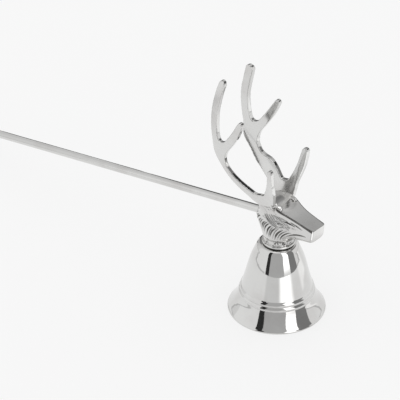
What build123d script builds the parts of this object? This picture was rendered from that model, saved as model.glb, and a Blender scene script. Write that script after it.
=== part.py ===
"""Candle snuffer with a stag's head: a polished bell cup, a cast head with two antlers, and a straight rod.

Millimetres. The origin is the centre of the cup's mouth, +Z runs up the cup's axis, and the stag looks
along +X. The cup stands on its rim, and the rod slopes back and down until its free end touches the table.
"""

import math
import os

from build123d import *

# Bell cup: a turned shell with a lip, a flared mouth, two beads, a straight waist and a round shoulder
RIM_RADIUS = 24.0
LIP_HEIGHT = 1.1
LIP_PROUD = 0.35
BAND_RADIUS = 18.7
BAND_HEIGHT = 9.4
BEAD_HEIGHT = 2.1
BEAD_PROUD = 0.4
WAIST_RADIUS = 17.3
SHOULDER_RADIUS = 12.8
SHOULDER_DROP = 7.4
SEAT_RADIUS = 9.2
CUP_HEIGHT = 38.4
CUP_WALL = 1.4
CROWN_WALL = 1.8

# Screw and washer that clamp the cup to the neck, from inside the cup
SCREW_RADIUS = 2.0
SCREW_GRIP = 8.0
SCREW_HEAD_RADIUS = 4.0
SCREW_HEAD_HEIGHT = 2.6
SCREW_HEAD_EDGE = 0.8
SCREW_TIP_CHAMFER = 0.5
SLOT_WIDTH = 1.2
SLOT_DEPTH = 1.2
WASHER_RADIUS = 4.5
WASHER_THICKNESS = 0.8
CLEARANCE_HOLE = 0.15
THREAD_GAP = 0.05
HOLE_RUN_OUT = 1.5

# Neck: a round collar, then oval sections
# (height above the collar's foot, centre x, half length, half width)
COLLAR_RADIUS = 8.2
COLLAR_HEIGHT = 1.2
COLLAR_STEP = 0.6
NECK_SECTIONS = [
    (2.6, 0.6, 7.7, 7.4),
    (6.0, 1.0, 9.0, 8.2),
    (11.0, 0.8, 10.0, 8.8),
    (16.0, -0.4, 9.2, 8.5),
    (20.0, -1.0, 7.4, 7.0),
]

# Head: upright sections from the nape to the nose, each an x and then, down one side, the half width
# and the height above the collar's foot of the top edge, the temple, the cheek and the jaw
HEAD_SECTIONS = [
    (-9.4, (2.8, 18.6), (3.4, 17.0), (3.8, 14.6), (3.0, 11.0)),
    (-7.5, (4.0, 23.6), (5.2, 20.0), (6.6, 15.5), (4.5, 9.6)),
    (-4.0, (5.0, 26.2), (6.0, 22.0), (8.2, 16.6), (6.0, 8.4)),
    (0.5, (5.6, 26.8), (6.4, 22.5), (8.5, 17.0), (6.0, 7.6)),
    (2.4, (6.4, 25.8), (6.9, 22.0), (8.5, 16.2), (6.0, 7.3)),
    (4.2, (7.0, 24.0), (7.3, 21.4), (8.4, 14.6), (5.8, 7.2)),
    (6.7, (6.7, 22.8), (7.2, 20.0), (7.9, 13.0), (5.2, 7.2)),
    (10.0, (6.0, 21.7), (6.6, 18.2), (6.9, 12.2), (4.2, 7.6)),
    (16.8, (5.2, 20.2), (5.6, 17.0), (5.3, 13.2), (2.8, 9.4)),
    (24.6, (4.9, 18.6), (4.95, 16.0), (4.6, 13.4), (2.8, 11.8)),
]

# Ears: leaves that lie back along the head below the antlers
# (x, y, height above the collar's foot, half width, half thickness)
EAR_SECTIONS = [
    (3.2, 6.2, 26.2, 0.8, 0.6),
    (1.8, 7.5, 24.8, 1.1, 0.7),
    (0.2, 8.6, 23.2, 0.5, 0.35),
]

# Antlers: flat limbs with rounded edges, given by stations along the left antler
# (x, y, height above the collar's foot, width); the right antler is its mirror image
BEAM_STATIONS = [
    (-2.6, 6.9, 21.6, 7.4),
    (-6.3, 7.7, 25.2, 7.6),
    (-10.3, 8.7, 28.0, 6.6),
    (-15.8, 10.0, 31.6, 5.8),
    (-20.1, 10.9, 34.7, 5.2),
    (-23.1, 11.3, 37.8, 4.9),
    (-25.6, 11.6, 41.5, 4.8),
    (-28.4, 11.7, 48.4, 4.6),
    (-30.2, 11.5, 57.8, 4.4),
    (-30.3, 11.2, 67.0, 4.3),
    (-28.7, 10.6, 75.4, 4.1),
    (-26.9, 10.1, 82.0, 3.5),
    (-26.4, 10.0, 84.2, 2.0),
]
MID_TINE_STATIONS = [
    (-26.5, 11.5, 45.4, 8.0),
    (-23.0, 12.0, 49.9, 6.4),
    (-19.8, 12.4, 54.3, 4.8),
    (-16.2, 12.9, 60.0, 4.1),
    (-14.1, 13.3, 64.0, 3.7),
    (-12.5, 13.7, 67.2, 3.0),
    (-11.8, 13.9, 68.8, 1.7),
]
BROW_TINE_STATIONS = [
    (-0.8, 6.9, 22.0, 7.0),
    (-0.2, 7.8, 26.4, 8.0),
    (1.2, 9.3, 31.0, 6.4),
    (2.9, 10.8, 35.4, 4.6),
    (4.1, 11.8, 39.8, 3.9),
    (4.8, 12.6, 44.4, 3.6),
    (5.2, 13.1, 47.4, 3.0),
    (5.4, 13.3, 49.0, 1.7),
]
BROW_WEB_STATIONS = [
    (-7.6, 8.1, 25.6, 4.6),
    (-3.8, 8.4, 27.6, 4.8),
    (0.4, 8.8, 28.6, 4.6),
]
ANTLER_THICKNESS = 2.4
ANTLER_SPLAY = 14.0
TIP_FLATNESS = 0.85
EDGE_ROUND = 0.4
SPIGOT_RADIUS = 1.6
SPIGOT_X = -2.6
SPIGOT_HEIGHT = 21.6
SPIGOT_END_Y = 2.2
SPIGOT_GAP = 0.05
SOCKET_RUN_OUT = 0.4

# Rod handle: straight stock, one end screwed into the nape, the free end rounded and resting on the table
ROD_RADIUS = 2.0
ROD_LENGTH = 300.0
ROD_GRIP = 10.0
ROD_MOUTH_X = -8.4
ROD_MOUTH_HEIGHT = 14.05
ROD_END_CHAMFER = 0.4

# Sizes that follow from those above
band_top = BAND_HEIGHT + 2 * BEAD_HEIGHT
shoulder_height = CUP_HEIGHT - SHOULDER_DROP
bead_middle_radius = (BAND_RADIUS + WAIST_RADIUS) / 2
shoulder_slope = Vector(SHOULDER_RADIUS - WAIST_RADIUS, shoulder_height - band_top)
mouth_slope = Vector(BAND_RADIUS - WAIST_RADIUS, BAND_HEIGHT - band_top)
crown_inside = CUP_HEIGHT - CROWN_WALL
washer_foot = crown_inside - WASHER_THICKNESS
screw_head_foot = washer_foot - SCREW_HEAD_HEIGHT
screw_tip = CUP_HEIGHT + SCREW_GRIP
rod_mouth = Vector(ROD_MOUTH_X, 0, CUP_HEIGHT + ROD_MOUTH_HEIGHT)
rod_free_length = ROD_LENGTH - ROD_GRIP
rod_drop = math.asin((rod_mouth.Z - ROD_RADIUS) / (rod_free_length - ROD_RADIUS))
rod_direction = Vector(-math.cos(rod_drop), 0, -math.sin(rod_drop))
rod_socket_end = rod_mouth - rod_direction * (ROD_GRIP + SOCKET_RUN_OUT)


def above_collar(x, y, height):
    """A point given by its height above the collar's foot."""
    return Vector(x, y, CUP_HEIGHT + height)


def bell_line(inset, crown, mouth):
    """The bell's line from its crown down to its mouth, set in from the outside by the given amount."""
    Line((0, crown), (SEAT_RADIUS - inset, crown))
    shoulder = (SHOULDER_RADIUS - inset, shoulder_height)
    TangentArc(shoulder, (SEAT_RADIUS - inset, crown), tangent=shoulder_slope)
    Line(shoulder, (WAIST_RADIUS - inset, band_top))
    Line((WAIST_RADIUS - inset, band_top), (BAND_RADIUS - inset, BAND_HEIGHT))
    TangentArc((BAND_RADIUS - inset, BAND_HEIGHT), mouth, tangent=mouth_slope)


# The cup, turned about its axis
with BuildPart() as bell_cup:
    with BuildSketch(Plane.XZ):
        with BuildLine():
            bell_line(0, CUP_HEIGHT, (RIM_RADIUS - LIP_PROUD, LIP_HEIGHT))
            Polyline(
                (RIM_RADIUS - LIP_PROUD, LIP_HEIGHT),
                (RIM_RADIUS, LIP_HEIGHT),
                (RIM_RADIUS, 0),
                (RIM_RADIUS - CUP_WALL, 0),
            )
            bell_line(CUP_WALL, crown_inside, (RIM_RADIUS - CUP_WALL, 0))
            Line((0, crown_inside), (0, CUP_HEIGHT))
        make_face()
    revolve(axis=Axis.Z)
    with BuildSketch(Plane.XZ):
        for foot, low, high in (
            (BAND_HEIGHT, BAND_RADIUS, bead_middle_radius),
            (BAND_HEIGHT + BEAD_HEIGHT, bead_middle_radius, WAIST_RADIUS),
        ):
            with BuildLine():
                ThreePointArc(
                    (low, foot),
                    ((low + high) / 2 + BEAD_PROUD, foot + BEAD_HEIGHT / 2),
                    (high, foot + BEAD_HEIGHT),
                )
                Polyline(
                    (high, foot + BEAD_HEIGHT),
                    (high - CUP_WALL / 2, foot + BEAD_HEIGHT),
                    (low - CUP_WALL / 2, foot),
                    (low, foot),
                )
            make_face()
    revolve(axis=Axis.Z)
    with Locations((0, 0, CUP_HEIGHT)):
        Hole(SCREW_RADIUS + CLEARANCE_HOLE, depth=2 * CROWN_WALL)
bell_cup.part.label = "bell_cup"

# The washer under the screw's head
with BuildPart() as cup_washer:
    with BuildSketch(Plane.XY.offset(washer_foot)):
        Circle(WASHER_RADIUS)
        Circle(SCREW_RADIUS + CLEARANCE_HOLE, mode=Mode.SUBTRACT)
    extrude(amount=WASHER_THICKNESS)
cup_washer.part.label = "cup_washer"

# The slotted pan-head screw that goes up through the cup into the neck
with BuildPart() as cup_screw:
    with BuildSketch(Plane.XY.offset(screw_head_foot)):
        Circle(SCREW_HEAD_RADIUS)
    extrude(amount=SCREW_HEAD_HEIGHT)
    fillet(cup_screw.edges().group_by(Axis.Z)[0], SCREW_HEAD_EDGE)
    with BuildSketch(Plane.XY.offset(washer_foot)):
        Circle(SCREW_RADIUS)
    extrude(amount=screw_tip - washer_foot)
    chamfer(cup_screw.edges().group_by(Axis.Z)[-1], SCREW_TIP_CHAMFER)
    with BuildSketch(Plane.XY.offset(screw_head_foot)):
        Rectangle(2 * SCREW_HEAD_RADIUS, SLOT_WIDTH)
    extrude(amount=SLOT_DEPTH, mode=Mode.SUBTRACT)
cup_screw.part.label = "cup_screw"

# The rod, turned about its own sloping axis, with a domed free end
rod_plane = Plane(origin=rod_mouth, x_dir=rod_direction, z_dir=(0, 1, 0))
with BuildPart() as handle_rod:
    with BuildSketch(rod_plane):
        with BuildLine():
            Polyline(
                (rod_free_length, 0),
                (-ROD_GRIP, 0),
                (-ROD_GRIP, ROD_RADIUS - ROD_END_CHAMFER),
                (-ROD_GRIP + ROD_END_CHAMFER, ROD_RADIUS),
                (rod_free_length - ROD_RADIUS, ROD_RADIUS),
            )
            RadiusArc((rod_free_length - ROD_RADIUS, ROD_RADIUS), (rod_free_length, 0), ROD_RADIUS)
        make_face()
    revolve(axis=Axis(rod_mouth, rod_direction))
handle_rod.part.label = "handle_rod"


# The head casting: neck, head and ears in one, before its sockets are drilled
with BuildPart() as head_casting:
    with BuildSketch(Plane.XY.offset(CUP_HEIGHT)):
        Circle(COLLAR_RADIUS)
    extrude(amount=COLLAR_HEIGHT)
    with BuildSketch(Plane.XY.offset(CUP_HEIGHT + COLLAR_HEIGHT)):
        Circle(COLLAR_RADIUS - COLLAR_STEP)
    for height, centre, half_length, half_width in NECK_SECTIONS:
        with BuildSketch(Plane.XY.offset(CUP_HEIGHT + height)):
            with Locations((centre, 0)):
                Ellipse(half_length, half_width)
    loft()
    for x, *side in HEAD_SECTIONS:
        with BuildSketch(Plane(origin=(x, 0, CUP_HEIGHT), x_dir=(0, 1, 0), z_dir=(1, 0, 0))):
            with BuildLine():
                Polyline(side + [(-half, height) for half, height in reversed(side)], close=True)
            make_face()
    loft(ruled=True)
    for hand in (1, -1):
        ear_points = [above_collar(x, hand * y, height) for x, y, height, _, _ in EAR_SECTIONS]
        ear_line = ear_points[-1] - ear_points[0]
        for point, (_, _, _, half_width, half_thickness) in zip(ear_points, EAR_SECTIONS):
            with BuildSketch(Plane(origin=point, x_dir=(0, 1, 0), z_dir=ear_line)):
                Ellipse(half_thickness, half_width)
        loft()


def limb_sections(stations):
    """Round-edged sections set square to the line of one antler limb."""
    points = [above_collar(x, y, height) for x, y, height, _ in stations]
    splay = math.radians(ANTLER_SPLAY)
    face_normal = Vector(-math.sin(splay), math.cos(splay), 0)
    sections = []
    for i, (_, _, _, width) in enumerate(stations):
        along = points[min(i + 1, len(points) - 1)] - points[max(i - 1, 0)]
        across = along.cross(face_normal).normalized()
        thickness = min(ANTLER_THICKNESS, TIP_FLATNESS * width)
        with BuildSketch(Plane(origin=points[i], x_dir=across, z_dir=along)) as section:
            RectangleRounded(width, thickness, EDGE_ROUND * thickness)
        sections.append(section.sketch.face())
    return sections


# The left antler: three limbs and a web, a foot fitted to the head, and a spigot that enters the head
spigot_plane = Plane(origin=above_collar(SPIGOT_X, SPIGOT_END_Y, SPIGOT_HEIGHT), z_dir=(0, 1, 0))
spigot_length = BEAM_STATIONS[1][1] - SPIGOT_END_Y
with BuildPart() as left_antler:
    loft(limb_sections(BEAM_STATIONS))
    loft(limb_sections(MID_TINE_STATIONS))
    loft(limb_sections(BROW_TINE_STATIONS))
    loft(limb_sections(BROW_WEB_STATIONS))
    add(head_casting.part, mode=Mode.SUBTRACT)
    with BuildSketch(spigot_plane):
        Circle(SPIGOT_RADIUS)
    extrude(amount=spigot_length)
left_antler.part.label = "left_antler"

# The right antler
with BuildPart() as right_antler:
    mirror(left_antler.part, about=Plane.XZ)
right_antler.part.label = "right_antler"

# The finished head, with a socket for each spigot, the rod and the screw
with BuildPart() as stag_head:
    add(head_casting.part)
    for hand in (1, -1):
        inner_end = above_collar(SPIGOT_X, hand * (SPIGOT_END_Y - SOCKET_RUN_OUT), SPIGOT_HEIGHT)
        with BuildSketch(Plane(origin=inner_end, z_dir=(0, hand, 0))):
            Circle(SPIGOT_RADIUS + SPIGOT_GAP)
        extrude(amount=spigot_length, mode=Mode.SUBTRACT)
    with BuildSketch(Plane(origin=rod_socket_end, z_dir=rod_direction)):
        Circle(ROD_RADIUS + THREAD_GAP)
    extrude(amount=2 * ROD_GRIP, mode=Mode.SUBTRACT)
    with BuildSketch(Plane.XY.offset(CUP_HEIGHT)):
        Circle(SCREW_RADIUS + THREAD_GAP)
    extrude(amount=SCREW_GRIP + HOLE_RUN_OUT, mode=Mode.SUBTRACT)
stag_head.part.label = "stag_head"

os.makedirs("parts", exist_ok=True)
export_step(bell_cup.part, "parts/bell_cup.step")
export_step(cup_washer.part, "parts/cup_washer.step")
export_step(cup_screw.part, "parts/cup_screw.step")
export_step(stag_head.part, "parts/stag_head.step")
export_step(left_antler.part, "parts/left_antler.step")
export_step(right_antler.part, "parts/right_antler.step")
export_step(handle_rod.part, "parts/handle_rod.step")
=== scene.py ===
import math

import bpy
import numpy as np
from mathutils import Matrix, Vector


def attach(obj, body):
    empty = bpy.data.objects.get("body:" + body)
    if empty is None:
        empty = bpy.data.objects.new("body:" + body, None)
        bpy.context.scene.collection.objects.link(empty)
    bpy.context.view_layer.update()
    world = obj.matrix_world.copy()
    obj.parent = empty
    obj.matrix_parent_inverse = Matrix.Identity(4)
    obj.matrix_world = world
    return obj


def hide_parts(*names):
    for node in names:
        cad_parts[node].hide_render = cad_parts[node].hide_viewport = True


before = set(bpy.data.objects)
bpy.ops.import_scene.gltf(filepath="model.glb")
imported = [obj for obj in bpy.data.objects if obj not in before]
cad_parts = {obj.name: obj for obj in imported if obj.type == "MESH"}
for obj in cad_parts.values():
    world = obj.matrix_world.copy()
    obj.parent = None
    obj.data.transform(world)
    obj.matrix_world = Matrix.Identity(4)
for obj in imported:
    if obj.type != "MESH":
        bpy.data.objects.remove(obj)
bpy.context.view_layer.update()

# Lengths are millimetres in the tables and functions below; meshes are made in metres.
MM = 0.001
rng = np.random.default_rng(7)

# The bell cup
CUP_HEIGHT = 38.4
CUP_WALL = 1.4
SCREW_HOLE = 2.15

# The head stands on the cup. Its lines are given against x, in front of the cup's axis, and the neck's
# against z.
COLLAR_RADIUS = 8.2
NECK_AXIS_X = 0.6
HEAD_TOP = [(-11.0, 50.0), (-9.8, 56.0), (-8.0, 61.0), (-5.2, 63.0), (-2.5, 63.35), (0.0, 63.3),
            (2.0, 63.1), (3.4, 62.75), (4.8, 62.2), (6.7, 61.4), (9.5, 60.4), (13.0, 59.4), (24.8, 56.95)]
HEAD_JAW = [(-11.0, 50.0), (-9.0, 48.5), (-4.0, 46.5), (4.0, 45.2), (9.0, 45.4), (13.0, 46.2),
            (18.5, 48.2), (24.8, 50.0)]
FACE_HALF = [(-10.0, 3.0), (-7.5, 4.4), (-3.0, 5.5), (0.5, 6.4), (2.4, 6.9), (4.2, 7.1), (6.7, 6.75),
             (10.0, 5.95), (13.5, 5.4), (18.0, 5.1), (24.8, 4.85)]
CHEEK_HALF = [(-10.0, 4.0), (-7.5, 6.6), (-3.0, 8.2), (1.0, 8.5), (4.5, 8.4), (9.0, 7.3), (12.0, 6.4),
              (16.8, 5.5), (24.8, 4.85)]
CHEEK_HEIGHT = [(-10.0, 53.0), (-4.0, 54.5), (1.0, 54.6), (5.0, 53.4), (9.0, 52.0), (16.8, 52.6),
                (24.8, 53.4)]
NECK_MIDDLE = [(38.0, 0.2), (42.6, 0.5), (43.9, 0.9), (45.5, 1.0), (49.5, 0.8), (54.5, -0.4),
               (60.0, -1.0)]
NECK_HALF_LENGTH = [(38.0, 7.3), (42.6, 7.6), (43.9, 8.5), (45.5, 9.2), (49.5, 10.0), (54.5, 9.1),
                    (60.0, 7.4)]
NECK_HALF_WIDTH = [(38.0, 7.2), (42.6, 7.3), (43.9, 8.0), (45.5, 8.4), (49.5, 8.9), (54.5, 8.6),
                   (60.0, 7.0)]
NECK_TOP = 60.0
NECK_FILLET = 2.4
NOSE_X = 24.6
NOSE_TOP = 57.0
NOSE_LEAN = 0.09
NOSE_ROUND = 1.3
FACE_EDGE = 0.35
COLLAR_X = 0.5
COLLAR_EDGE = 0.4
COLLAR_MIDDLE = 1.3
FOOT_STEP = 1.0
FOOT_HEIGHT = 1.2
# Ears and eyes: the ends of each, its half width and its half thickness
NEAR_EAR = ((1.0, 8.5, 62.3), (4.4, 7.5, 65.4), 1.0, 0.45)
FAR_EAR = ((0.2, 7.6, 61.4), (2.0, 7.6, 63.4), 0.8, 0.4)
EYE = ((4.4, 5.5, 62.6), (5.2, 5.2, 62.5), 1.25, 0.5)
FACING_LIGHT = (0.31, 0.35, 0.88)
PEDICLE_MIDDLE = (-2.2, 6.6, 58.8)
PEDICLE_RADII = (5.0, 1.5, 3.2)
PEDICLE_TURN = math.radians(-35)

# Cuts on the left cheek, in the side view: start, bend and end (x, z), radius and depth
CHEEK_CUTS = [
    ((-1.6, 57.9), (0.6, 54.9), (6.2, 52.9), 0.42, 0.45),
    ((-0.6, 58.3), (1.8, 55.4), (6.6, 53.6), 0.36, 0.4),
    ((1.0, 58.5), (3.0, 56.6), (5.6, 54.7), 0.36, 0.34),
    ((2.2, 58.9), (3.6, 57.4), (5.0, 56.2), 0.34, 0.34),
    ((3.4, 59.0), (5.6, 58.2), (8.2, 56.6), 0.36, 0.36),
    ((4.4, 57.0), (5.8, 56.8), (7.6, 55.5), 0.34, 0.3),
    ((5.4, 58.9), (8.4, 58.2), (11.4, 56.9), 0.34, 0.28),
    ((5.2, 55.4), (6.9, 56.2), (9.0, 55.2), 0.34, 0.3),
    ((8.0, 57.4), (11.0, 57.2), (14.5, 56.2), 0.3, 0.2),
    ((6.6, 53.6), (10.2, 55.6), (15.5, 54.6), 0.3, 0.2),
    ((12.0, 57.6), (15.0, 57.0), (18.4, 55.8), 0.3, 0.18),
    ((9.6, 48.0), (13.4, 52.4), (20.3, 52.6), 0.55, 0.34),
    ((0.6, 61.0), (2.6, 62.2), (3.6, 62.6), 0.45, 0.4),
]
CHEEK_DEPTH_SHARE = 0.78
CUT_FILLET = 0.28

# The left antler's limbs: (x, y, z, width) along each
BEAM = [(-3.2, 7.1, 61.4, 6.0), (-6.3, 7.8, 63.5, 6.0), (-10.3, 8.7, 66.3, 5.3), (-15.8, 10.0, 69.8, 4.7),
        (-20.1, 10.9, 73.0, 4.4), (-23.1, 11.3, 76.2, 4.2), (-25.6, 11.6, 79.9, 4.2),
        (-28.4, 11.7, 86.8, 4.1), (-30.2, 11.5, 96.2, 4.0), (-30.3, 11.2, 105.4, 4.0),
        (-28.7, 10.6, 113.8, 4.0), (-26.9, 10.1, 120.6, 3.8)]
MID_TINE = [(-26.5, 11.6, 83.8, 4.4), (-23.0, 12.2, 88.3, 4.3), (-19.8, 12.6, 92.7, 4.1),
            (-16.2, 13.0, 98.4, 3.8), (-14.1, 13.35, 102.4, 3.4), (-12.6, 13.65, 105.5, 2.8)]
BROW_TINE = [(0.3, 6.8, 61.2, 5.8), (0.4, 7.6, 65.0, 5.8), (1.4, 9.3, 69.4, 4.7), (2.9, 10.8, 73.8, 4.1),
             (4.1, 11.8, 78.2, 3.8), (4.8, 12.6, 82.8, 3.4), (5.2, 13.1, 86.0, 3.0)]
BROW_WEB = [(-7.6, 8.1, 64.0, 4.4), (-3.8, 8.4, 65.9, 4.6), (0.4, 8.8, 66.8, 4.4)]
LEFT_SWELL = [(-19.4, 10.9, 73.0, 4.2), (-14.2, 10.2, 72.2, 4.4), (-10.6, 9.5, 70.0, 4.4),
              (-7.0, 8.7, 67.0, 4.0)]
ANTLER_HALF_THICKNESS = 1.15
ANTLER_EDGE = 0.38
ANTLER_SPLAY = math.radians(14.0)
SHEET_BENDS = 4
FOOT_BEND = 1.2
FOOT_BEND_TOP = 63.4
RIGHT_FRONT = [(3.6, 9.2, 67.6, 3.6), (4.2, 10.2, 70.4, 3.7), (4.6, 11.0, 73.0, 3.6),
               (4.9, 12.0, 77.5, 3.2)]

# The rod
ROD_RADIUS = 2.0
ROD_LENGTH = 300.0
ROD_GRIP = 10.0
ROD_CHAMFER = 0.4
ROD_MOUTH = np.array([-8.4, 0.0, 52.45])

# The camera, and the picture's own directions in the object's frame
CAMERA_AT = Vector((0.5902, -0.7393, 0.7035))
PICTURE_RIGHT = Vector((0.7561, 0.6544, 0.0))
PICTURE_UP = Vector((-0.3674, 0.4245, 0.8276))
TOWARDS_CAMERA = Vector((0.6544, -0.7561, 0.0))
LENS = 216.0


def smooth_min(a, b, k):
    """The lesser of two distances, with a fillet of about k where they cross."""
    h = np.clip(0.5 + 0.5 * (b - a) / k, 0, 1)
    return b + (a - b) * h - k * h * (1 - h)


def smooth_max(a, b, k):
    return -smooth_min(-a, -b, k)


class Curve:
    """A smooth line through points (t, value), with no overshoot between them."""

    def __init__(self, points):
        t, v = np.array(points, float).T
        slope = np.diff(v) / np.diff(t)
        m = np.zeros_like(v)
        turn = slope[:-1] * slope[1:] > 0
        m[1:-1][turn] = 2 * slope[:-1][turn] * slope[1:][turn] / (slope[:-1] + slope[1:])[turn]
        m[0], m[-1] = slope[0], slope[-1]
        self.t = np.linspace(t[0], t[-1], 800)
        i = np.clip(np.searchsorted(t, self.t, side="right") - 1, 0, len(t) - 2)
        h = t[i + 1] - t[i]
        s = (self.t - t[i]) / h
        self.v = ((1 + 2 * s) * (1 - s) ** 2 * v[i] + s * (1 - s) ** 2 * h * m[i]
                  + s * s * (3 - 2 * s) * v[i + 1] + s * s * (s - 1) * h * m[i + 1])

    def __call__(self, t):
        return np.interp(t, self.t, self.v)

    def slope(self, t, step=0.15):
        return (self(t + step) - self(t - step)) / (2 * step)


def limb_line(stations, count=48):
    """Evenly many points along a limb, on a smooth curve through its stations."""
    stations = np.array(stations, float)
    run = np.concatenate([[0], np.cumsum(np.linalg.norm(np.diff(stations[:, :3], axis=0), axis=1))])
    at = np.linspace(0, run[-1], count)
    padded = np.vstack([2 * stations[0] - stations[1], stations, 2 * stations[-1] - stations[-2]])
    i = np.clip(np.searchsorted(run, at, side="right") - 1, 0, len(run) - 2)
    s = ((at - run[i]) / (run[i + 1] - run[i]))[:, None]
    a, b, c, d = (padded[i + j] for j in range(4))
    return 0.5 * (2 * b + (c - a) * s + (2 * a - 5 * b + 4 * c - d) * s ** 2
                  + (3 * b - a - 3 * c + d) * s ** 3)


def beside_limb(px, pz, line):
    """For points of the side view: the distance to a limb's edge."""
    best = np.float64(1e9)
    for a, b in zip(line[:-1], line[1:]):
        ux, uz = b[0] - a[0], b[2] - a[2]
        h = np.clip(((px - a[0]) * ux + (pz - a[2]) * uz) / (ux * ux + uz * uz), 0, 1)
        d = np.hypot(px - a[0] - h * ux, pz - a[2] - h * uz) - (a[3] + h * (b[3] - a[3])) / 2
        best = np.minimum(best, d)
    return best


def antler_sheet(limbs):
    """How far out the middle of the antler's plate lies, at x and z of the side view.

    It is one smooth sheet through the limbs, and its foot bends in towards the head.
    """
    at = []
    for x, y, z, width in limbs:
        for half in (-width / 2, 0, width / 2):
            at.append((x + half, z, y + half * math.tan(ANTLER_SPLAY)))
    powers = [(i, j) for i in range(SHEET_BENDS + 1) for j in range(SHEET_BENDS + 1 - i)]

    def terms(x, z):
        return [((x + 12) / 20) ** i * ((z - 90) / 30) ** j for i, j in powers]

    x, z, y = np.array(at).T
    share = np.linalg.lstsq(np.stack(terms(x, z), axis=1), y, rcond=None)[0]

    def sheet(x, z):
        foot = np.clip((FOOT_BEND_TOP - z) / 3, 0, 1) ** 2 * np.clip((x + 3) / 3, 0, 1)
        return sum(w * term for w, term in zip(share, terms(x, z))) - FOOT_BEND * foot

    return sheet


def antler_field(sheet, limbs):
    """A field of distances from the left antler: one round-edged plate, from (stations, fillet) limbs."""
    limbs = [(limb_line(stations), fillet) for stations, fillet in limbs]

    def field(x, y, z):
        edge = np.float64(50.0)
        for line, fillet in limbs:
            edge = smooth_min(edge, beside_limb(x, z, line), fillet)
        across = np.abs(y - sheet(x, z)) * math.cos(ANTLER_SPLAY) - ANTLER_HALF_THICKNESS + ANTLER_EDGE
        edge = edge + ANTLER_EDGE
        return (np.minimum(np.maximum(edge, across), 0)
                + np.hypot(np.maximum(edge, 0), np.maximum(across, 0)) - ANTLER_EDGE)

    return field


head_top, head_jaw = Curve(HEAD_TOP), Curve(HEAD_JAW)
face_half, cheek_half, cheek_height = Curve(FACE_HALF), Curve(CHEEK_HALF), Curve(CHEEK_HEIGHT)
neck_middle = Curve(NECK_MIDDLE)
neck_half_length, neck_half_width = Curve(NECK_HALF_LENGTH), Curve(NECK_HALF_WIDTH)


def ellipsoid(x, y, z, centre, radii, turn=0.0):
    """Distance from an egg at centre, turned by an angle in the side view."""
    c, s = math.cos(turn), math.sin(turn)
    px, py, pz = x - centre[0], y - centre[1], z - centre[2]
    qx, qz = (px * c + pz * s) / radii[0], (pz * c - px * s) / radii[2]
    return (np.sqrt(qx * qx + (py / radii[1]) ** 2 + qz * qz) - 1) * min(radii)


def lozenge(x, y, z, first, last, half_width, half_thick):
    """Distance from a low lens-shaped boss that lies along a line, with its flat side towards the light."""
    first, last, axis = (np.array(v, float) for v in (first, last, FACING_LIGHT))
    axis /= np.linalg.norm(axis)
    u = last - first
    px, py, pz = x - first[0], y - first[1], z - first[2]
    h = np.clip((px * u[0] + py * u[1] + pz * u[2]) / (u @ u), 0, 1)
    px, py, pz = px - h * u[0], py - h * u[1], pz - h * u[2]
    along = px * axis[0] + py * axis[1] + pz * axis[2]
    off = px * px + py * py + pz * pz - along * along
    return (np.sqrt(np.maximum(off, 0) / half_width ** 2 + (along / half_thick) ** 2) - 1) * half_thick


def head_field(x, y, z):
    """Distance from the head casting before its fur is cut."""
    side = np.abs(y)
    cheek, width = cheek_height(x), cheek_half(x)
    top = head_top(x)
    rise = np.clip((z - cheek) / np.maximum(top - cheek, 0.5), 0, 1)
    rise = rise * rise * (3 - 2 * rise)
    upper = side - (width + (face_half(x) - width) * rise)
    depth = (cheek - z) / np.maximum(cheek - head_jaw(x), 0.5)
    square = 2.0 + 1.8 * np.clip((x - 14.0) / 8.0, 0, 1)
    lower = (((side / width) ** square + np.maximum(depth, 0) ** square) ** (1 / square) - 1) * width
    flank = np.where(z > cheek, upper, lower)
    crown = (z - top) / np.sqrt(1 + head_top.slope(x) ** 2)
    nose = (x - NOSE_X) + NOSE_LEAN * (NOSE_TOP - z)
    head = smooth_max(smooth_max(flank, nose, NOSE_ROUND), crown, FACE_EDGE)
    a, b = neck_half_length(z), neck_half_width(z)
    neck = (np.hypot((x - neck_middle(z)) / a, y / b) - 1) * b
    neck = smooth_max(smooth_max(neck, z - NECK_TOP, 2.0), CUP_HEIGHT + 0.3 - z, 0.3)
    head = smooth_min(head, neck, NECK_FILLET)
    out = np.hypot(x - COLLAR_X, y) - COLLAR_RADIUS
    rim, level = out + COLLAR_EDGE, np.abs(z - CUP_HEIGHT - COLLAR_MIDDLE) - COLLAR_EDGE / 2
    collar = (np.minimum(np.maximum(rim, level), 0) + np.hypot(np.maximum(rim, 0), np.maximum(level, 0))
              - COLLAR_EDGE)
    head = smooth_min(head, collar, 0.3)
    foot = np.maximum(out + FOOT_STEP, np.abs(z - CUP_HEIGHT - FOOT_HEIGHT / 2) - FOOT_HEIGHT / 2)
    head = np.minimum(head, foot)
    ears = np.minimum(lozenge(x, -y, z, *NEAR_EAR), lozenge(x, y, z, *FAR_EAR))
    head = smooth_min(smooth_min(head, ears, 0.25), lozenge(x, side, z, *EYE), 0.3)
    pedicle = ellipsoid(x, side, z, PEDICLE_MIDDLE, PEDICLE_RADII, PEDICLE_TURN)
    return smooth_min(head, pedicle, 0.8)


def on_flank(x, z):
    """The point on the head's left side at x and z of the side view."""
    y = np.linspace(13.0, 0.0, 261)
    d = head_field(np.full_like(y, x), y, np.full_like(y, z))
    return np.array([x, y[np.argmax(d < 0)], z])


def on_neck(angle, z):
    """The point on the neck at an angle, in degrees from straight ahead towards the left, and a height."""
    r = np.linspace(16.0, 1.0, 301)
    c, s = math.cos(math.radians(angle)), math.sin(math.radians(angle))
    d = head_field(NECK_AXIS_X + r * c, r * s, np.full_like(r, z))
    reach = r[np.argmax(d < 0)]
    return np.array([NECK_AXIS_X + reach * c, reach * s, z])


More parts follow.
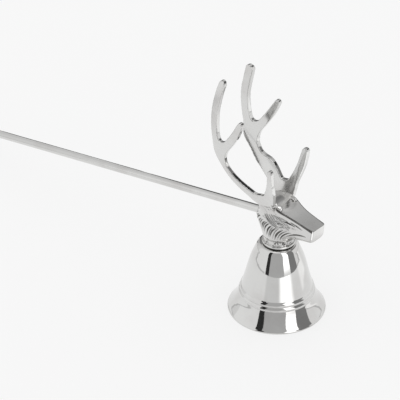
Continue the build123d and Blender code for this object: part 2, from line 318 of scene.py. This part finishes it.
def stroke(place, start, bend, end, width, depth):
    """One tool cut on the left side: a bow of points on the surface, each with the cut's radius there."""
    t = np.linspace(0, 1, 9)[:, None]
    flat = (1 - t) ** 2 * np.array(start) + 2 * t * (1 - t) * np.array(bend) + t ** 2 * np.array(end)
    taper = 0.35 + 0.65 * np.sin(np.pi * np.clip(t[:, 0] * 0.9 + 0.05, 0, 1)) ** 0.7
    points = np.array([place(*p) for p in flat])
    outwards = points - np.array([NECK_AXIS_X, 0, 0])
    outwards[:, 2] = 0
    outwards /= np.maximum(np.linalg.norm(outwards, axis=1), 1e-6)[:, None]
    radius = width * taper
    return points + outwards * (radius - depth * taper)[:, None], radius


def fur_strokes():
    """Every cut on the left side: mane, cheek, throat and the band above the collar."""
    cuts = []
    for i in range(19):
        angle = 27 + 8.0 * i + rng.uniform(-1.0, 1.0)
        high = 51.6 + 0.32 * i + rng.uniform(-0.3, 0.3)
        low = high - 6.6 + rng.uniform(-0.6, 0.4)
        sweep = 22 + rng.uniform(-2, 3)
        cuts.append(stroke(on_neck, (angle, high), (angle + 0.75 * sweep, high - 1.8), (angle + sweep, low),
                           width=0.32 + 0.14 * rng.random(), depth=0.3 + 0.22 * rng.random()))
    for i in range(26):
        angle, high = rng.uniform(0, 180), rng.uniform(41.4, 44.2)
        lean, drop = rng.uniform(-9, 9), rng.uniform(0.5, 1.9)
        cuts.append(stroke(on_neck, (angle, high), (angle + lean, high - 0.4 * drop),
                           (angle + 0.6 * lean, high - drop),
                           width=0.26 + 0.12 * rng.random(), depth=0.24 + 0.2 * rng.random()))
    cheek = list(CHEEK_CUTS)
    for i in range(16):
        x = rng.uniform(1.4, 9.6)
        z = 58.6 - 0.3 * x + rng.uniform(-1.4, 0.6)
        run = rng.uniform(1.1, 2.2)
        cheek.append(((x, z), (x + 0.5 * run, z - 0.2 * run), (x + run, z - 0.65 * run),
                      0.22 + 0.08 * rng.random(), 0.17 + 0.1 * rng.random()))
    for start, bend, end, width, depth in cheek:
        cuts.append(stroke(on_flank, start, bend, end, width, CHEEK_DEPTH_SHARE * depth))
    return cuts


cuts = fur_strokes()


def shade_and_tarnish_of(points):
    """How dark each point is painted: tarnish with painted shade, deeper in the cuts, painted shade lines
    along the face's edges and a painted shadow under the collar.

    The cheek is polished more, so its cuts hold less.
    """
    x, side, z = points[:, 0], np.abs(points[:, 1]), points[:, 2]
    # Tarnish and painted shade: darker the deeper a point lies in a cut
    in_cuts = -head_field(*points.T) * (1 - 0.3 * np.clip(x / 2, 0, 1) * np.clip((z - 52) / 2, 0, 1))
    # Painted shade lines along the face's edges, just under and just over the crown's edge
    below, beside = head_top(x) - z, side - face_half(x)
    width = np.interp(x, [3.8, 5.5, 8.5, 17.0, 20.5, 24.0], [0.7, 0.85, 0.4, 0.4, 0.6, 0.9])
    under = 1 - np.hypot(below - 0.42, 0.5 * beside) / width
    over = 1 - np.hypot(beside + 0.3, below) / 0.32
    line = np.clip(np.maximum(under, over), 0, 1) * np.clip(x - 3.4, 0, 1) * np.clip((24.3 - x) / 0.3, 0, 1)
    # A painted shadow under the collar
    gap = np.clip((CUP_HEIGHT + 0.75 - z) / 0.3, 0, 0.6)
    return np.maximum(in_cuts, np.maximum(0.7 * line, gap))


def carve(points, d):
    """The distances d of the points, after the fur is cut on both sides."""
    left = points.copy()
    left[:, 1] = np.abs(left[:, 1])
    gap = np.full(len(points), 9.0)
    for line, radius in cuts:
        reach = radius.max() + 1.0
        low, high = line.min(axis=0) - reach, line.max(axis=0) + reach
        near = np.nonzero(((left > low) & (left < high)).all(axis=1))[0]
        if not len(near):
            continue
        p = left[near]
        best = gap[near]
        for a, b, ra, rb in zip(line[:-1], line[1:], radius[:-1], radius[1:]):
            u = b - a
            h = np.clip((p - a) @ u / (u @ u), 0, 1)
            best = np.minimum(best, np.linalg.norm(p - a - h[:, None] * u, axis=1) - (ra + h * (rb - ra)))
        gap[near] = best
    return smooth_max(d, -gap, CUT_FILLET)


def furred_head_field(x, y, z):
    d = head_field(x, y, z)
    band = (d > -1.3) & (d < 0.5)
    points = np.stack([np.broadcast_to(v, d.shape)[band] for v in (x, y, z)], axis=1)
    d[band] = carve(points, d[band])
    return d


CORNERS = np.array([(i, j, k) for i in (0, 1) for j in (0, 1) for k in (0, 1)])
CELL_EDGES = [(a, b) for a in range(8) for b in range(a + 1, 8)
              if np.abs(CORNERS[a] - CORNERS[b]).sum() == 1]


def skin(field, low, high, step):
    """Points, quads and normals of the closed surface where a field of distances is nought."""
    axes = [np.arange(a, b + step, step) for a, b in zip(low, high)]
    d = field(*np.meshgrid(*axes, indexing="ij", sparse=True))
    inside = d < 0
    shape = np.array(d.shape) - 1
    count = sum(inside[i:i + shape[0], j:j + shape[1], k:k + shape[2]].astype(np.int8)
                for i, j, k in CORNERS)
    cells = np.argwhere((count > 0) & (count < 8))
    ids = np.full(shape, -1)
    ids[tuple(cells.T)] = np.arange(len(cells))
    values = np.stack([d[tuple((cells + c).T)] for c in CORNERS], axis=1)
    place, hits = np.zeros((len(cells), 3)), np.zeros(len(cells))
    for a, b in CELL_EDGES:
        cross = (values[:, a] < 0) != (values[:, b] < 0)
        t = np.where(cross, values[:, a] / np.where(cross, values[:, a] - values[:, b], 1), 0)
        place += cross[:, None] * (CORNERS[a] + t[:, None] * (CORNERS[b] - CORNERS[a]))
        hits += cross
    points = np.array(low) + (cells + place / hits[:, None]) * step
    quads = []
    for axis in range(3):
        u, v = (axis + 1) % 3, (axis + 2) % 3
        first = np.take(inside, range(shape[axis]), axis)
        second = np.take(inside, range(1, shape[axis] + 1), axis)
        at = np.argwhere(first != second)
        at = at[(at[:, u] > 0) & (at[:, v] > 0) & (at[:, u] < shape[u]) & (at[:, v] < shape[v])]
        ring = []
        for du, dv in ((-1, -1), (0, -1), (0, 0), (-1, 0)):
            cell = at.copy()
            cell[:, u] += du
            cell[:, v] += dv
            ring.append(ids[tuple(cell.T)])
        ring = np.stack(ring, axis=1)
        out = first[tuple(at.T)]
        quads.append(np.where(out[:, None], ring, ring[:, ::-1]))
    for _ in range(2):
        here = field(*points.T)
        slope = gradient(field, points)
        points = points - slope * (here / np.maximum((slope ** 2).sum(axis=1), 0.2))[:, None]
    slope = gradient(field, points)
    return points, np.concatenate(quads), slope / np.linalg.norm(slope, axis=1)[:, None]


def gradient(field, points, step=0.06):
    """The slope of a field at points."""
    parts = []
    for axis in range(3):
        nudge = np.zeros(3)
        nudge[axis] = step
        parts.append((field(*(points + nudge).T) - field(*(points - nudge).T)) / (2 * step))
    return np.stack(parts, axis=1)


def make_piece(name, points, faces, material, node, slot, normals=None, **marks):
    """A mesh piece of the object, given in millimetres, that stands for one CAD node.

    marks are values at its points, which its metal reads by their names.
    """
    mesh = bpy.data.meshes.new(name)
    mesh.from_pydata((np.asarray(points) * MM).tolist(), [], [list(map(int, f)) for f in faces])
    mesh.validate()
    mesh.shade_smooth()
    if normals is not None:
        mesh.normals_split_custom_set_from_vertices(np.asarray(normals).tolist())
    for mark, values in marks.items():
        attribute = mesh.attributes.new(mark, "FLOAT", "POINT")
        attribute.data.foreach_set("value", values.astype(np.float32))
    mesh.materials.append(material)
    piece = bpy.data.objects.new(name, mesh)
    bpy.context.scene.collection.objects.link(piece)
    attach(piece, "root")
    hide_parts(node)


def rim_of(normals):
    """How far each point of an antler lies on its plate's rim, which is polished brighter than the flats."""
    return np.clip((0.85 - np.abs(normals[:, 1])) / 0.35, 0, 1)


def lathe(profile, around=256):
    """Points and quads of a profile (radius, height) turned about +Z, closed on itself."""
    profile = np.array(profile)
    angle = np.arange(around) * 2 * np.pi / around
    points = np.stack([np.outer(profile[:, 0], np.cos(angle)), np.outer(profile[:, 0], np.sin(angle)),
                       np.repeat(profile[:, 1:2], around, axis=1)], axis=2).reshape(-1, 3)
    n = len(profile)
    i, j = np.meshgrid(np.arange(n), np.arange(around), indexing="ij")
    a, b = i * around + j, i * around + (j + 1) % around
    c, d = ((i + 1) % n) * around + (j + 1) % around, ((i + 1) % n) * around + j
    return points, np.stack([a, b, c, d], axis=2).reshape(-1, 4)


def rounded(corners, smoothing):
    """A closed profile with each corner (r, z) rounded by its own radius."""
    line = []
    corners = np.array(corners, float)
    for i, radius in enumerate(smoothing):
        here, before, after = corners[i], corners[i - 1], corners[(i + 1) % len(corners)]
        if radius == 0:
            line.append(here)
            continue
        a, b = before - here, after - here
        reach = min(radius, 0.45 * np.linalg.norm(a), 0.45 * np.linalg.norm(b))
        a, b = here + a / np.linalg.norm(a) * reach, here + b / np.linalg.norm(b) * reach
        t = np.linspace(0, 1, 7)[:, None]
        line.extend((1 - t) ** 2 * a + 2 * t * (1 - t) * here + t ** 2 * b)
    return line


class Thread:
    """A value in a node tree. Arithmetic on it adds maths nodes, and node() adds any other node."""

    def __init__(self, tree, socket=None):
        self.tree, self.socket = tree, socket

    def node(self, kind, sockets=None, out=0, **settings):
        made = self.tree.nodes.new(kind)
        for key, value in settings.items():
            setattr(made, key, value)
        for key, value in (sockets or {}).items():
            if isinstance(value, Thread):
                self.tree.links.new(value.socket, made.inputs[key])
            else:
                made.inputs[key].default_value = value
        return Thread(self.tree, made.outputs[out] if len(made.outputs) else None)

    def maths(self, operation, *values):
        return self.node("ShaderNodeMath", dict(enumerate(values)), operation=operation)

    def __add__(self, other):
        return self.maths("ADD", self, other)

    __radd__ = __add__

    def __sub__(self, other):
        return self.maths("SUBTRACT", self, other)

    def __rsub__(self, other):
        return self.maths("SUBTRACT", other, self)

    def __mul__(self, other):
        return self.maths("MULTIPLY", self, other)

    __rmul__ = __mul__

    def __pow__(self, other):
        return self.maths("POWER", self, other)

    def between(self, low, high):
        """0 below low, 1 above high, smooth between."""
        return self.node("ShaderNodeMapRange", {"Value": self, "From Min": low, "From Max": high},
                         interpolation_type="SMOOTHSTEP")

    def tint(self, first, second):
        """The colour that lies this far from the first to the second."""
        return self.node("ShaderNodeMix", {0: self, 6: (*first, 1), 7: (*second, 1)}, out=2,
                         data_type="RGBA")

    def grey(self):
        """The grey of this level."""
        return self.node("ShaderNodeCombineColor", {0: self, 1: self, 2: self})


def empty_material(name):
    """A new material with no nodes, and the start of its node tree."""
    material = bpy.data.materials.new(name)
    material.use_nodes = True
    material.node_tree.nodes.clear()
    return material, Thread(material.node_tree)


def metal(name, dull, bright, polish, haze, grain, stretch, relief, shade_and_tarnish_colour=None, rim_polish=0.0):
    """Polished metal, clouded by handling, with a polish that varies and fine lines of the wheel; given a
    dark colour, it also takes tarnish and painted shade.
    """
    material, start = empty_material(name)
    place = start.node("ShaderNodeTexCoord", out=3)
    stretched = start.node("ShaderNodeMapping", {"Vector": place, "Scale": stretch})
    cloud = start.node("ShaderNodeTexNoise",
                       {"Vector": place, "Scale": 55.0, "Detail": 4.0, "Roughness": 0.55})
    smear = start.node("ShaderNodeTexNoise",
                       {"Vector": place, "Scale": 210.0, "Detail": 3.0, "Distortion": 0.8})
    lines = start.node("ShaderNodeTexNoise",
                       {"Vector": stretched, "Scale": grain, "Detail": 5.0, "Roughness": 0.7})
    dulled = cloud.between(0.35, 0.75)
    colour = dulled.tint(bright, dull)
    rough = dulled * haze + smear.between(0.45, 0.8) * (haze * 0.6) + polish
    # The points' mark darkens the colour: tarnish and painted shade in the cuts, painted shade along the
    # face's edges, a painted shadow under the collar
    if shade_and_tarnish_colour is not None:
        groove = start.node("ShaderNodeAttribute", out=2, attribute_name="groove")
        black = (groove + smear * 0.12 - 0.06).between(0.06, 0.42)
        colour = start.node("ShaderNodeMix", {0: black, 6: colour, 7: (*shade_and_tarnish_colour, 1)}, out=2,
                            data_type="RGBA")
        rough = black * 0.25 + rough
    if rim_polish:
        rough = rough - start.node("ShaderNodeAttribute", out=2, attribute_name="rim") * rim_polish
    bump = start.node("ShaderNodeBump", {"Height": lines, "Strength": relief, "Distance": 0.0002})
    shader = start.node("ShaderNodeBsdfPrincipled",
                        {"Base Color": colour, "Metallic": 1.0, "Roughness": rough, "Normal": bump})
    start.node("ShaderNodeOutputMaterial", {"Surface": shader})
    return material


def light_board(name, points, faces, colour_of):
    """A board that only the metal sees. colour_of makes its colour from its node tree."""
    material, start = empty_material(name)
    light = start.node("ShaderNodeEmission", {"Color": colour_of(start), "Strength": 1.0})
    start.node("ShaderNodeOutputMaterial", {"Surface": light})
    mesh = bpy.data.meshes.new(name)
    mesh.from_pydata(points, [], faces)
    mesh.materials.append(material)
    board = bpy.data.objects.new(name, mesh)
    bpy.context.scene.collection.objects.link(board)
    board.visible_camera = False
    board.visible_diffuse = False
    board.visible_shadow = False


def card(name, low_angles, high_angles, low, high, colour_of):
    """A curved studio card, from low to high.

    Its angles run from the camera's side to the right, and low and high are (distance, height) in metres.
    """
    steps = 24
    points, faces = [], []
    for i in range(steps + 1):
        for (first, last), (distance, height) in ((low_angles, low), (high_angles, high)):
            angle = math.radians(first + (last - first) * i / steps)
            way = TOWARDS_CAMERA * math.cos(angle) + PICTURE_RIGHT * math.sin(angle)
            points.append((way.x * distance, way.y * distance, height))
    for i in range(steps):
        faces.append((2 * i, 2 * i + 1, 2 * i + 3, 2 * i + 2))
    light_board(name, points, faces, colour_of)


def plain(level):
    """One even grey for a card."""
    return lambda start: (level, level, level, 1)


def softbox_face(start):
    """The softbox's light, which falls off towards its foot."""
    height = start.node("ShaderNodeSeparateXYZ", {0: start.node("ShaderNodeTexCoord", out=3)}, out=2)
    return (height.between(0.0, 0.06) * 1.0 + 0.9).grey()


def table_sheen(start):
    """What the metal sees in the table's gloss: a dim patch, and bright patches below the light cards."""
    place = start.node("ShaderNodeTexCoord", out=3)
    x = start.node("ShaderNodeSeparateXYZ", {0: place}, out=0)
    y = start.node("ShaderNodeSeparateXYZ", {0: place}, out=1)
    right = x * PICTURE_RIGHT.x + y * PICTURE_RIGHT.y
    front = x * TOWARDS_CAMERA.x + y * TOWARDS_CAMERA.y
    angle = start.maths("ARCTAN2", right, front) * (180 / math.pi)
    reach = (right * right + front * front) ** 0.5
    dim = angle.between(-42, -34) * (1 - angle.between(-2, 10))
    bright = angle.between(2, 14) * (1 - angle.between(38, 52)) * reach.between(0.068, 0.08)
    side = angle.between(74, 84) * (1 - angle.between(104, 116)) * reach.between(0.07, 0.08)
    return (dim * -0.16 + bright * 0.75 + side * 0.24 + 0.92).grey()


NICKEL_DULL, NICKEL_BRIGHT = (0.62, 0.61, 0.60), (0.70, 0.70, 0.69)
cup_metal = metal("cup_nickel", NICKEL_DULL, NICKEL_BRIGHT, polish=0.035, haze=0.03, grain=900.0,
                  stretch=(0.05, 0.05, 1.0), relief=0.02)
# The head's dark colour stands for tarnish and painted shade
head_metal = metal("head_nickel", (0.58, 0.57, 0.56), NICKEL_BRIGHT, polish=0.06, haze=0.06, grain=700.0,
                   stretch=(1.0, 1.0, 1.0), relief=0.03, shade_and_tarnish_colour=(0.10, 0.097, 0.093))
antler_metal = metal("antler_nickel", NICKEL_DULL, NICKEL_BRIGHT, polish=0.13, haze=0.05, grain=600.0,
                     stretch=(1.0, 1.0, 0.1), relief=0.03, rim_polish=0.09)
rod_metal = metal("rod_nickel", NICKEL_DULL, NICKEL_BRIGHT, polish=0.05, haze=0.04, grain=900.0,
                  stretch=(0.04, 1.0, 1.0), relief=0.03)
screw_metal = metal("screw_steel", (0.42, 0.42, 0.42), (0.55, 0.55, 0.54), polish=0.2, haze=0.1,
                    grain=800.0, stretch=(1.0, 1.0, 1.0), relief=0.05)

# The bell: outside from the crown to the lip, then inside back up to the screw hole
BELL_OUTSIDE = [(8.2, CUP_HEIGHT), (8.9, 38.27), (9.55, 37.85), (10.25, 36.9), (11.0, 35.1), (11.85, 33.0),
                (12.65, 31.0), (13.65, 28.0), (14.7, 24.0), (15.7, 20.0), (16.75, 16.0), (17.35, 13.6)]
BEADS = [(11.5, 18.0, 17.35), (9.4, 18.7, 18.0)]  # foot, radius at the foot, radius at the top
BEAD_HEIGHT = 2.1
BEAD_PROUD = 0.45
FLARE = [(0.9, 23.75), (1.8, 23.2), (3.2, 22.2), (5.0, 20.95), (7.0, 19.75), (9.4, 18.7)]  # height, radius
LIP = [(23.6, 1.15), (24.05, 0.75), (24.0, 0.0), (22.6, 0.0), (22.3, 0.8)]
LIP_ROUNDS = [0, 0.45, 0.3, 0.3, 0]
CROWN_INSIDE = 36.6
WAIST_FOOT = BELL_OUTSIDE[-1][1]

waist = Curve([(z, r) for r, z in reversed(BELL_OUTSIDE)])
flare = Curve(FLARE)
heights = CUP_HEIGHT - (CUP_HEIGHT - WAIST_FOOT) * np.linspace(0, 1, 80) ** 1.8
profile = [(SCREW_HOLE, CUP_HEIGHT)] + [(waist(h), h) for h in heights]
for foot, low, high in BEADS:
    for t in np.linspace(0, 1, 13)[1:]:
        bulge = BEAD_PROUD * math.sin(math.pi * t) ** 0.8
        profile.append((high + (low - high) * t + bulge, foot + BEAD_HEIGHT * (1 - t)))
profile += [(flare(h), h) for h in np.linspace(9.3, 1.2, 24)]
profile += rounded(LIP, LIP_ROUNDS)
profile += [(flare(max(h, 1.3)) - CUP_WALL, h) for h in np.linspace(1.4, 9.3, 16)]
profile += [(waist(h) - CUP_WALL, h) for h in np.linspace(WAIST_FOOT, 35.6, 30)]
profile += [(7.8, CROWN_INSIDE), (SCREW_HOLE, CROWN_INSIDE)]
points, faces = lathe(profile)
make_piece("bell_cup_turned", points, faces[:, ::-1], cup_metal, "bell_cup", "cup_polish")

# The rod: a turned bar laid along its slope
drop = math.asin((ROD_MOUTH[2] - ROD_RADIUS) / (ROD_LENGTH - ROD_GRIP - ROD_RADIUS))
dome = [(ROD_RADIUS * math.cos(t), ROD_LENGTH - ROD_RADIUS + ROD_RADIUS * math.sin(t))
        for t in np.linspace(0, 1.55, 10)]
bar = [(0.02, 0.0), (ROD_RADIUS - ROD_CHAMFER, 0.0), (ROD_RADIUS, ROD_CHAMFER)]
bar += [(ROD_RADIUS, s) for s in np.linspace(2, 296, 40)] + dome
points, faces = lathe(bar, 64)
along = np.array([-math.cos(drop), 0, -math.sin(drop)])
across = np.array([math.sin(drop), 0, -math.cos(drop)])
laid = (ROD_MOUTH - along * ROD_GRIP + points[:, 2:3] * along + points[:, 0:1] * across
        + points[:, 1:2] * np.array([0, 1.0, 0]))
make_piece("handle_rod_bar", laid, faces, rod_metal, "handle_rod", "rod_polish")

# The antlers and the head
ANTLER_BOX = (-35.0, 3.0, 55.0), (9.0, 16.5, 124.5)
HEAD_BOX = (-11.5, -10.5, 37.6), (26.0, 10.5, 67.0)
ANTLER_STEP, HEAD_STEP = ((0.35, 0.25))
sheet = antler_sheet(BEAM + BROW_TINE + MID_TINE)
limbs = [(BEAM, 1.0), (BROW_TINE, 2.5), (MID_TINE, 6.0), (BROW_WEB, 1.5)]
points, faces, normals = skin(antler_field(sheet, limbs + [(LEFT_SWELL, 1.5)]), *ANTLER_BOX, ANTLER_STEP)
make_piece("left_antler_cast", points, faces, antler_metal, "left_antler", "antler_casting", normals,
           rim=rim_of(normals))
points, faces, normals = skin(antler_field(sheet, limbs + [(RIGHT_FRONT, 0.8)]), *ANTLER_BOX, ANTLER_STEP)
mirror = np.array([1, -1, 1])
make_piece("right_antler_cast", points * mirror, faces[:, ::-1], antler_metal, "right_antler",
           "antler_casting", normals * mirror, rim=rim_of(normals))
points, faces, normals = skin(furred_head_field, *HEAD_BOX, HEAD_STEP)
# The head's point mark holds its tarnish and painted shade
make_piece("stag_head_cast", points, faces, head_metal, "stag_head", "head_casting", normals,
           groove=shade_and_tarnish_of(points))

for node in ("cup_screw", "cup_washer"):
    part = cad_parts[node]
    part.data.materials.clear()
    part.data.materials.append(screw_metal)

# The table
mesh = bpy.data.meshes.new("table")
mesh.from_pydata([(-4, -4, 0), (4, -4, 0), (4, 4, 0), (-4, 4, 0)], [], [(0, 1, 2, 3)])
table_paint = bpy.data.materials.new("table_white")
table_paint.use_nodes = True
for socket, value in {"Base Color": (0.25, 0.25, 0.25, 1), "Roughness": 1.0, "Specular IOR Level": 0.0,
                      "Emission Color": (1, 1, 1, 1), "Emission Strength": 0.685}.items():
    table_paint.node_tree.nodes["Principled BSDF"].inputs[socket].default_value = value
mesh.materials.append(table_paint)
table = bpy.data.objects.new("table", mesh)
bpy.context.scene.collection.objects.link(table)

# Studio cards around the front of the object, seen only in the metal
NEAR = 0.245
BACK = 0.16
for name, low_angles, high_angles, height, level in (
        ("card_left_grey", (-105, -46), (-105, -51), 0.36, 0.95),
        ("card_left_side", (-125, -105), (-125, -105), 0.36, 0.82),
        ("card_left_back", (-158, -125), (-158, -125), 0.36, 0.74),
        ("card_black", (-46, -33), (-51, -31), 0.36, 0.035),
        ("card_mid_grey", (-33, 23), (-31, 18), 0.36, 0.52),
        ("card_dark_grey", (48, 79), (46, 78), 0.30, 0.26),
        ("card_right_grey", (79, 155), (78, 155), 0.18, 0.92)):
    card(name, low_angles, high_angles, (NEAR, 0.0), (NEAR, height), plain(level))
card("card_softbox", (23, 48), (18, 46), (NEAR, 0.0), (NEAR, 0.36), softbox_face)
for name, angles, low, high, level in (
        ("card_left_skirt", (-155, -50), (NEAR - 0.002, 0.0), (NEAR - 0.002, 0.01), 0.6),
        ("card_right_skirt", (80, 155), (NEAR - 0.002, 0.0), (NEAR - 0.002, 0.01), 0.6),
        ("card_back_dark", (158, 202), (BACK, 0.014), (BACK, 0.11), 0.10),
        ("card_overhead_black", (108, 165), (BACK, 0.30), (0.07, 0.30), 0.2),
        ("card_back_high", (142, 163), (NEAR, 0.18), (NEAR, 0.27), 0.75),
        ("card_high_black", (104, 127), (NEAR, 0.28), (NEAR, 0.40), 0.04),
        ("card_tip_light", (140, 220), (0.07, 0.155), (0.07, 0.20), 0.8)):
    card(name, angles, angles, low, high, plain(level))
light_board("card_rod_dark",
            [(-0.33, 0.05, 0.0), (-0.13, 0.05, 0.0), (-0.13, 0.05, 0.04), (-0.33, 0.05, 0.04)],
            [(0, 1, 2, 3)], plain(0.08))
card("table_gloss", (-125, 125), (-125, 125), (0.03, 0.0006), (NEAR, 0.0006), table_sheen)

# The room: white light on the table; in the metal, a dim wall behind and a bright ceiling
world = bpy.data.worlds.new("room")
bpy.context.scene.world = world
world.use_nodes = True
world.node_tree.nodes.clear()
start = Thread(world.node_tree)
way = start.node("ShaderNodeTexCoord", out="Generated")
height = start.node("ShaderNodeSeparateXYZ", {0: way}, out=2)
in_metal = start.node("ShaderNodeLightPath", out="Is Glossy Ray")
wall = height.between(0.60, 0.90) * 0.66 + height.between(0.965, 0.98) * 0.9 + 0.26
tone = start.node("ShaderNodeMix", {0: in_metal, 6: (1, 1, 1, 1), 7: wall.grey()}, out=2, data_type="RGBA")
sky = start.node("ShaderNodeBackground", {"Color": tone, "Strength": 1.0})
start.node("ShaderNodeOutputWorld", {"Surface": sky})

# The camera
camera_data = bpy.data.cameras.new("camera")
camera_data.sensor_width = 36.0
camera_data.lens = LENS
camera_data.clip_end = 20.0
camera = bpy.data.objects.new("camera", camera_data)
back = PICTURE_RIGHT.cross(PICTURE_UP).normalized()
camera.matrix_world = Matrix((
    (PICTURE_RIGHT.x, PICTURE_UP.x, back.x, CAMERA_AT.x),
    (PICTURE_RIGHT.y, PICTURE_UP.y, back.y, CAMERA_AT.y),
    (PICTURE_RIGHT.z, PICTURE_UP.z, back.z, CAMERA_AT.z),
    (0, 0, 0, 1)))
bpy.context.scene.collection.objects.link(camera)
bpy.context.scene.camera = camera
bpy.context.scene.view_settings.view_transform = "Standard"
